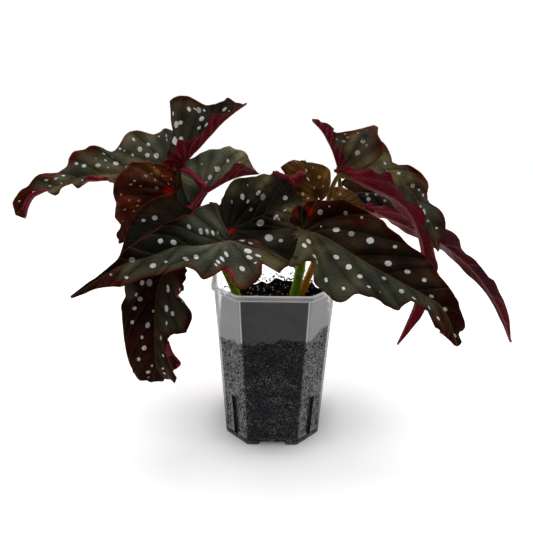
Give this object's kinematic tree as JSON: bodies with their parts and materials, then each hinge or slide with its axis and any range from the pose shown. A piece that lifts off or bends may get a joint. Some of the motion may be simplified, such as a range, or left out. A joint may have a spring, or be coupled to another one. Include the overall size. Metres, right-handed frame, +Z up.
{
  "type": "potted polka dot begonia",
  "caption": "Cane begonia with dark, silver-spotted, wine-backed leaves in a tall, square nursery pot of clear plastic with cut corners, filled with dark soil.",
  "frame": {"origin": "middle of the pot's foot, on the surface that it stands on", "axes": "+Z up; the plant's front, as pictured, looks toward -Y; +X is the viewer's right"},
  "size_m": [0.3769, 0.206, 0.254],
  "materials": {
    "pot": "milky, half clear, satin",
    "soil": "matt, crumbly",
    "cane": "satin",
    "ripe_cane": "satin",
    "leaf": "satin, silver spots, wine red underside",
    "wine_leaf": "satin",
    "young_leaf": "glossy"
  },
  "bodies": {
    "root": {"pot": "pot", "soil": "soil", "cane_left": "cane", "cane_middle": "cane", "cane_right": "ripe_cane", "leaf_front_right": "leaf", "leaf_front_left": "leaf", "leaf_centre": "leaf", "leaf_upper_centre": "leaf", "leaf_top_left": "leaf", "leaf_far_left": "leaf", "leaf_young_left": "young_leaf", "leaf_behind_left": "leaf", "leaf_hanging": "leaf", "leaf_young_centre": "young_leaf", "leaf_small": "young_leaf", "leaf_long_right": "wine_leaf", "leaf_far_right": "wine_leaf", "leaf_back_right": "leaf", "leaf_top_right": "leaf", "leaf_rear_right": "leaf", "leaf_rear_left": "leaf", "leaf_rear_centre": "leaf", "leaf_rear_low": "leaf"}
  },
  "joints": []
}
